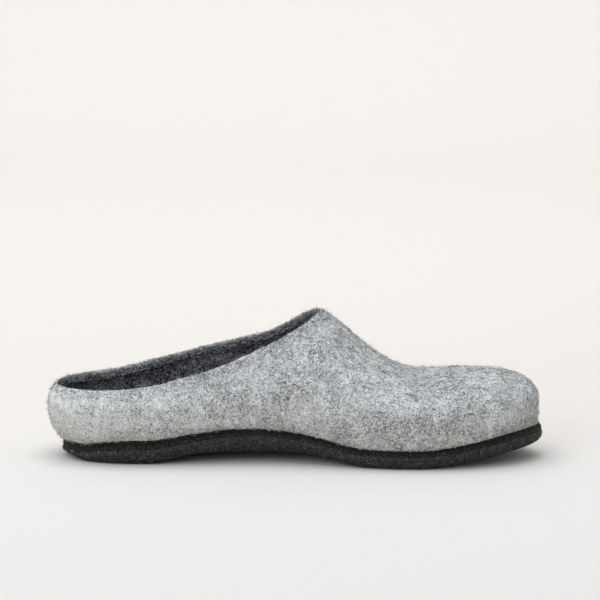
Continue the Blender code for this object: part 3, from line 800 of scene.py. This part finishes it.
class Tree:
    """A material's nodes, made one call a node."""

    def __init__(self, name):
        self.material = bpy.data.materials.new(name)
        self.material.use_nodes = True
        self.tree = self.material.node_tree
        self.shader = self.tree.nodes["Principled BSDF"]

    def node(self, kind, settings=None, **inputs):
        """A node with its settings, and its inputs by name (spaces as underscores) or by number."""
        made = self.tree.nodes.new("ShaderNode" + kind)
        for key, value in (settings or {}).items():
            setattr(made, key, value)
        for key, value in inputs.items():
            where = int(key[1:]) if key[1:].isdigit() else key.replace("_", " ")
            self.feed(made.inputs[where], value)
        return made

    def surface(self, **inputs):
        """Inputs of the material's own shader, by name with spaces as underscores."""
        for name, value in inputs.items():
            self.feed(self.shader.inputs[name.replace("_", " ")], value)

    def feed(self, socket, value):
        """A value or another node's output, into a socket."""
        if isinstance(value, bpy.types.NodeSocket):
            self.tree.links.new(value, socket)
        else:
            socket.default_value = value

    def math(self, operation, first, second=0.0, clamp=False):
        """A Math node's result."""
        settings = {"operation": operation, "use_clamp": clamp}
        return self.node("Math", settings, i0=first, i1=second).outputs[0]

    def noise(self, where, scale, detail=2.0, roughness=0.5):
        """A noise texture's value."""
        made = self.node("TexNoise", None, Vector=where, Scale=scale, Detail=detail, Roughness=roughness)
        return made.outputs["Fac"]

    def span(self, value, low, high, to_low=0.0, to_high=1.0):
        """A value carried from one range to another, held at its ends."""
        made = self.node("MapRange", {"clamp": True}, i0=value, i1=low, i2=high, i3=to_low, i4=to_high)
        return made.outputs[0]

    def blend(self, share, first, second):
        """Two colours mixed by a share."""
        first, second = ((*c, 1.0) if isinstance(c, tuple) else c for c in (first, second))
        return self.node("Mix", {"data_type": "RGBA"}, i0=share, i6=first, i7=second).outputs[2]

    def hairs(self, where, scale, lines, width):
        """Thin curly lines: the contours of a noise."""
        steps = self.math("MULTIPLY", self.noise(where, scale, 1.5, 0.45), lines)
        off = self.math("ABSOLUTE", self.math("SUBTRACT", self.math("FRACT", steps), 0.5))
        return self.span(off, 0.0, width, 1.0, 0.0)

    def attribute(self, name):
        """A value kept on the mesh's points."""
        return self.node("Attribute", {"attribute_name": name}).outputs["Fac"]

    def place(self, offset=(0.0, 0.0, 0.0)):
        """The object's own coordinates, moved."""
        coordinates = self.node("TexCoord").outputs["Object"]
        return self.node("Mapping", None, Vector=coordinates, Location=offset).outputs[0]

    def sway(self, value, half_range, strength):
        """A noise as a number from minus to plus its strength, about the noise's middle."""
        return self.span(value, 0.5 - half_range, 0.5 + half_range, -strength, strength)

    def add(self, first, *more):
        """The sum of numbers."""
        for value in more:
            first = self.math("ADD", first, value)
        return first


def felt_finish(tree, speckle, hair, relief, roughness, sheen):
    """The shader's own numbers and the bump of a felted surface."""
    height = tree.math("ADD", tree.math("MULTIPLY", speckle, 0.6), tree.math("MULTIPLY", hair, 0.5))
    made = tree.node("Bump", None, Strength=0.8, Distance=relief, Height=height)
    tree.surface(Normal=made.outputs[0], Roughness=roughness, Specular_IOR_Level=0.15)
    tree.surface(Sheen_Weight=sheen, Sheen_Roughness=0.6)


def upper_noises(tree):
    """The noises of the upper's felt by name, and its pale and its dark hairs."""
    where = tree.place()
    warp = tree.node("TexNoise", None, Vector=where, Scale=330.0, Detail=1.0).outputs["Color"]
    multiply_add = {"operation": "MULTIPLY_ADD"}
    shaken = tree.node("VectorMath", multiply_add, i0=warp, i1=(0.0022,) * 3, i2=where).outputs[0]
    noises = {
        "speckle": tree.noise(where, 1750.0, 2.0, 0.65),
        "tufts": tree.node("TexVoronoi", None, Vector=shaken, Scale=1500.0).outputs["Color"],
        "grain": tree.noise(shaken, 640.0, 2.0, 0.6),
        "cloud": tree.noise(where, 62.0, 3.0, 0.55),
        "patches": tree.noise(where, 170.0),
        "drift": tree.noise(tree.place((0.5, 0.2, 0.1)), 26.0),
    }
    pale_hair = tree.hairs(shaken, 150.0, 9.0, 0.16)
    dark_hair = tree.hairs(tree.place((0.31, 0.17, 0.05)), 190.0, 8.0, 0.14)
    return noises, pale_hair, dark_hair


def lining_share(tree, axes, noises):
    """1 where the felt has the lining's colour, with a ragged line along the lip."""
    zone = tree.attribute("zone")
    ragged = tree.add(zone, tree.sway(noises["grain"], 0.2, 0.12), tree.sway(noises["speckle"], 0.2, 0.08))
    for axis, start, end, at_start, at_end in LIP_SHIFTS:
        ragged = tree.add(ragged, tree.span(axes[axis], start, end, at_start, at_end))
    return tree.math("MULTIPLY", tree.span(ragged, *LIP_TURN), tree.span(zone, 0.0, 0.12))


def upper_material():
    """Light grey melange felt outside and anthracite felt inside, mixed along the collar's edge, with the
    heel painted paler as painted light and the foot darker and warmer as painted shade.
    """
    tree = Tree("felt_light_and_lining")
    axes = tree.node("SeparateXYZ", None, Vector=tree.place()).outputs
    noises, pale_hair, dark_hair = upper_noises(tree)
    level = UPPER_LEVEL
    for name, half_range, strength in MOTTLE:
        level = tree.add(level, tree.sway(noises[name], half_range, strength))
    level = tree.add(level, tree.math("MULTIPLY", pale_hair, PALE_HAIRS))
    level = tree.math("SUBTRACT", level, tree.math("MULTIPLY", dark_hair, DARK_HAIRS))
    shade = tree.math("SUBTRACT", level, tree.math("MULTIPLY", tree.attribute("near_rim"), RIM_DARKER))
    inner = tree.blend(tree.span(shade, *LINING_RANGE), *LINING)
    # Painted light: the heel, at the back, is painted paler.
    level = tree.math("ADD", level, tree.span(axes["X"], -0.13, -0.02, HEEL_PAINTED_LIGHT, 0.0), clamp=True)
    # Painted shade: towards the foot the felt turns darker and warmer, where the shell turns under.
    low = tree.add(tree.attribute("rise"), tree.sway(noises["cloud"], 0.2, 0.12))
    cool, warm = tree.blend(level, *OUTER), tree.blend(level, *WARM_SHADED)
    outer = tree.blend(tree.span(low, 0.0, 0.42, 1.0, 0.0), cool, warm)
    colour = tree.blend(lining_share(tree, axes, noises), outer, inner)
    tree.surface(Base_Color=colour)
    felt_finish(tree, noises["speckle"], pale_hair, relief=0.0011, roughness=0.95, sheen=0.12)
    return tree.material


def dark_speckle(tree, colours, hair_width):
    """A dark felt's base colour, its noises and its hairs."""
    where = tree.place()
    speckle = tree.noise(where, 1150.0, 2.0, 0.6)
    grain = tree.noise(tree.place((0.2, 0.4, 0.3)), 420.0, 2.0, 0.6)
    hair = tree.hairs(where, 170.0, 7.0, hair_width)
    fine, coarse = tree.span(speckle, 0.3, 0.7, 0.0, 0.7), tree.span(grain, 0.3, 0.7, 0.0, 0.4)
    return tree.blend(tree.math("ADD", fine, coarse, clamp=True), *colours), speckle, grain, hair


def dark_felt(name, colours, speck, share, foot_share):
    """A dark felt with paler specks and hairs, and with more specks at its foot."""
    tree = Tree(name)
    base, speckle, _, hair = dark_speckle(tree, colours, 0.12)
    spots = tree.math("MULTIPLY", hair, tree.span(speckle, 0.5, 0.72, 0.0, share))
    low = tree.span(tree.attribute("rise"), 0.25, 0.6, foot_share, 0.0)
    foot_spots = tree.math("MULTIPLY", low, tree.span(speckle, 0.42, 0.72))
    spots = tree.math("ADD", spots, foot_spots, clamp=True)
    tree.surface(Base_Color=tree.blend(spots, base, speck))
    felt_finish(tree, speckle, hair, relief=0.0009, roughness=0.95, sheen=0.05)
    return tree.material


def outsole_material():
    """Charcoal felt on the side, painted darker at its foot as painted shade, and a matt, finely pored latex
    tread.
    """
    tree = Tree("sole_charcoal")
    side, speckle, grain, hair = dark_speckle(tree, SOLE_SIDE_FELT, 0.13)
    spots = tree.math("MULTIPLY", hair, tree.span(speckle, 0.48, 0.70, 0.0, 0.8))
    side = tree.blend(spots, side, SOLE_SPECK)
    # Painted shade: the felt side darkens to near-black towards the outsole's foot.
    height = tree.add(tree.attribute("rise"), tree.sway(grain, 0.2, 0.1))
    side = tree.blend(tree.span(height, 0.34, 0.92), SOLE_FOOT_SHADE, side)
    pores = tree.noise(tree.place(), 900.0, 2.0, 0.6)
    tread = tree.blend(tree.span(pores, 0.3, 0.7), *TREAD)
    tree.surface(Base_Color=tree.blend(tree.attribute("zone"), side, tread))
    felt_finish(tree, speckle, hair, relief=0.0009, roughness=0.9, sheen=0.05)
    return tree.material


def fibre_material(name, colours):
    """Loose fibres, each of its own tone."""
    tree = Tree(name)
    colour = tree.blend(tree.attribute("tone"), *colours)
    tree.surface(Base_Color=colour, Roughness=0.8, Specular_IOR_Level=0.2)
    return tree.material


def sample(made, count, seed, wanted):
    """Random points on the mesh, the more of them where wanted gives more, with their normals."""
    data = made.data
    data.calc_loop_triangles()
    corners = np.zeros(len(data.loop_triangles) * 3, np.int32)
    data.loop_triangles.foreach_get("vertices", corners)
    corners = corners.reshape(-1, 3)
    points, normals = points_and_normals(made)
    a, b, c = (points[corners[:, k]] for k in range(3))
    area = np.linalg.norm(np.cross(b - a, c - a), axis=1)
    weight = area * wanted[corners].mean(axis=1)
    random = np.random.default_rng(seed)
    chosen = random.choice(len(corners), count, p=weight / weight.sum())
    u, v = random.random(count), random.random(count)
    over = u + v > 1
    u, v = np.where(over, 1 - u, u)[:, None], np.where(over, 1 - v, v)[:, None]
    spot = a[chosen] * (1 - u - v) + b[chosen] * u + c[chosen] * v
    normal = sum(normals[corners[chosen, k]] * s for k, s in enumerate((1 - u - v, u, v)))
    return spot, normal / np.linalg.norm(normal, axis=1)[:, None], random


def make_fibres(on, places, fibre):
    """Curly loose fibres as thin ribbons, lying on the felt or standing off it."""
    count, rows = fibre["count"], FIBRE_STEPS + 1
    spot, normal, random = sample(on, count, fibre["seed"], places[fibre["place"]])
    any_way = random.normal(size=(count, 3))
    side = np.cross(normal, any_way)
    side /= np.linalg.norm(side, axis=1)[:, None]
    other = np.cross(normal, side)
    turn = random.uniform(0, 2 * math.pi, count)
    curl = random.normal(0, FIBRE_CURL, count)
    swing = random.normal(0, FIBRE_SWING, (rows, count))
    reach = fibre["length"] * random.uniform(*FIBRE_REACH, count)
    stand = fibre["lift"] * np.minimum(random.exponential(STAND_MEAN, count), STAND_MOST)
    free = random.random(count) < fibre["loose"]
    tree = BVHTree.FromObject(on, bpy.context.evaluated_depsgraph_get())
    lines, at = [], spot.copy()
    for step in range(rows):
        share = step / FIBRE_STEPS
        height = stand * np.where(free, share**1.3, 4 * share * (1 - share)) - FIBRE_SUNK
        base = np.array([tree.find_nearest(Vector(point))[0] for point in at])
        lines.append(base + normal * height[:, None])
        angle = turn + curl * share * 2 + swing[step]
        way = side * np.cos(angle)[:, None] + other * np.sin(angle)[:, None]
        at = base + way * (reach / FIBRE_STEPS)[:, None]
    lines = np.array(lines)
    along = np.gradient(lines, axis=0)
    along /= np.linalg.norm(along, axis=2)[:, :, None]
    flat = np.cross(along, normal) * np.cos(turn)[:, None] + normal * np.sin(turn)[:, None]
    taper = np.linspace(1, FIBRE_TAPER, rows)[:, None, None]
    half = flat * taper * (fibre["width"] / 2 * random.uniform(*FIBRE_WIDTHS, count))[:, None]
    points = np.stack([lines - half, lines + half], axis=2).transpose(1, 0, 2, 3).reshape(-1, 3)
    step_quads = np.array([[2 * k, 2 * k + 1, 2 * k + 3, 2 * k + 2] for k in range(FIBRE_STEPS)])
    quads = (np.arange(count)[:, None, None] * 2 * rows + step_quads).reshape(-1, 4)
    data = bpy.data.meshes.new(fibre["name"])
    data.from_pydata(points.tolist(), [], quads.tolist())
    tones = random.normal(fibre["tone"], fibre["spread"], count)
    # Painted light: fibres near the heel get paler tones.
    tones = np.clip(tones + fibre["paler"] * (1 - soft(spot[:, 0], *HEEL_PAINTED_LIGHT_SPAN)), 0, 1)
    keep_values(data, "tone", np.repeat(tones, 2 * rows))
    data.shade_smooth()
    return put(fibre["name"], data)


def dress(made, material, replaced=()):
    """Gives a piece its material and its body, and hides the solids it stands for."""
    made.data.materials.append(material)
    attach(made, "root")
    for node in replaced:
        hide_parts(node)


def upper_places(upper):
    """How thickly fibres grow at the upper's points, from 0 to 1, for each place in the table."""
    zone, rise, near = (vertex_values(upper, label) for label in ("zone", "rise", "near_rim"))
    thin, thick = soft(rise, 0.01, 0.03), soft(rise, 0.05, 0.40)
    near_foot = (1 - 0.75 * soft(rise, 0.02, 0.07)) * (1 - soft(rise, 0.10, 0.40))
    return {
        "outside": (1 - soft(zone, 0.2, 0.6)) * (0.15 * thin + 0.85 * thick),
        "foot": near_foot * (1 - soft(zone, 0.05, 0.2)),
        "edge": near * (soft(zone, 0.0, 0.08) + 0.15) * (1 - soft(zone, 0.40, 0.60)),
        "rim": near * (soft(zone, 0.05, 0.3) * (1 - soft(zone, 0.97, 1.0)) + 0.2),
        "lining": soft(zone, 0.8, 1.0) * soft(rise, 0.15, 0.35),
    }


def outsole_places(outsole):
    """The same for the outsole: all of its side, and the top of its side behind the heel's end."""
    points, _ = points_and_normals(outsole)
    rise = vertex_values(outsole, "rise")
    side = 1 - vertex_values(outsole, "zone")
    heel = 1 - soft(points[:, 0], -0.112, -0.098)
    return {
        "side": side * soft(rise, 0.05, 0.2) * side_only(outsole),
        "joint": soft(rise, 0.80, 0.97) * side * (side_only(outsole) * heel + 1e-9),
    }


def make_all_fibres(upper, midsole, outsole):
    """Loose fibres on each felt, the most of them where the photograph shows fuzz."""
    shades = {name: fibre_material("fibres_" + name, pair) for name, pair in FIBRE_SHADES.items()}
    felts = {"upper": upper, "outsole": outsole, "midsole": midsole}
    places = {**upper_places(upper), **outsole_places(outsole), "band": side_only(midsole)}
    for row in FIBRES:
        fibre = dict(zip(FIBRE_COLUMNS, row))
        made = make_fibres(felts[fibre["on"]], places, fibre)
        dress(made, shades[fibre["shade"]])


def side_only(made):
    """1 on the parts of a layer whose normals point outwards rather than up or down."""
    _, normals = points_and_normals(made)
    return soft(1 - abs(normals[:, 2]), 0.2, 0.5) + 1e-6


def make_stage():
    """A pale floor that sweeps up behind, painted paler and warmer towards its back as painted light."""
    front, back, turn, bend = -3.0, 1.6, 0.6, 14
    profile = [(front, FLOOR_LEVEL)]
    for step in range(bend + 1):
        angle = math.pi / 2 * step / bend
        profile.append((back + turn * math.sin(angle), FLOOR_LEVEL + turn * (1 - math.cos(angle))))
    profile.append((back + turn, 3.0))
    points = [(x, y, z) for y, z in profile for x in (-3.0, 3.0)]
    quads = [(2 * k, 2 * k + 1, 2 * k + 3, 2 * k + 2) for k in range(len(profile) - 1)]
    data = bpy.data.meshes.new("floor")
    data.from_pydata(points, [], quads)
    data.shade_smooth()
    tree = Tree("floor_pale")
    place = tree.place()
    near = tree.blend(tree.noise(place, 3.0), FLOOR_NEAR, FLOOR_CLOUD)
    depth = tree.node("SeparateXYZ", None, Vector=place).outputs["Y"]
    near = tree.blend(tree.span(depth, -0.05, 0.25), near, FLOOR_MID)
    # Painted light: the sweep turns paler and warmer towards its back.
    colour = tree.blend(tree.span(depth, 0.3, 1.9), near, FLOOR_BACK_PAINTED_LIGHT)
    tree.surface(Base_Color=colour, Roughness=0.75, Specular_IOR_Level=0.2)
    data.materials.append(tree.material)
    put("floor", data)


def area_light(name, place, target, size, power, tint):
    """A soft square lamp that looks at a target."""
    lamp = bpy.data.lights.new(name, "AREA")
    lamp.size = size
    lamp.energy = power
    lamp.color = tint
    made = put(name, lamp)
    made.location = place
    made.rotation_euler = (Vector(target) - Vector(place)).to_track_quat("-Z", "Y").to_euler()


def make_light():
    """The lamps, and an even pale sky."""
    world = bpy.data.worlds.new("studio")
    bpy.context.scene.world = world
    world.use_nodes = True
    sky = world.node_tree.nodes["Background"]
    sky.inputs["Color"].default_value = (1.0, 0.985, 0.965, 1.0)
    sky.inputs["Strength"].default_value = SKY_STRENGTH
    for lamp in LAMPS:
        area_light(*lamp)


def make_camera():
    """A long lens at the photograph's angle, level with the shoe's long side."""
    lens = bpy.data.cameras.new("camera")
    lens.sensor_width = 36.0
    lens.lens = 36.0 * CAMERA_DISTANCE / FRAME_WIDTH
    lens.clip_end = 50.0
    camera = put("camera", lens)
    pitch, yaw = math.radians(CAMERA_PITCH), math.radians(CAMERA_YAW)
    away = Vector((math.sin(yaw) * math.cos(pitch), -math.cos(yaw) * math.cos(pitch), math.sin(pitch)))
    camera.location = Vector(CAMERA_TARGET) + away * CAMERA_DISTANCE
    camera.rotation_euler = (-away).to_track_quat("-Z", "Y").to_euler()
    bpy.context.scene.camera = camera
    bpy.context.scene.view_settings.view_transform = "Standard"


def main():
    last = Last()
    heights = Heights(last)
    low, high = (np.array(corner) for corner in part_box("outsole"))
    own_low, own_high = last.edge.min(axis=0), last.edge.max(axis=0)
    shift = np.append((low + high)[:2] / 2 - (own_low + own_high) / 2, 0.0)
    upper = make_upper(last, heights, shift)
    outsole = make_outsole(last, heights, shift)
    midsole = make_midsole(last, heights, shift)
    footbed = make_footbed(last, heights, shift)
    dress(upper, upper_material(), ["upper"])
    dress(outsole, outsole_material(), ["outsole"])
    # The midsole's colours carry painted shade under the shell's belly.
    band_felt = dark_felt("midsole_dark", MIDSOLE_FELT_AND_SHADE, MIDSOLE_SPECK, 0.7, 0.45)
    bed_felt = dark_felt("footbed_felt", BED, BED_SPECK, 0.6, 0.0)
    dress(midsole, band_felt, ["midsole"])
    dress(footbed, bed_felt, ["insole"])
    make_all_fibres(upper, midsole, outsole)
    make_stage()
    make_light()
    make_camera()


main()
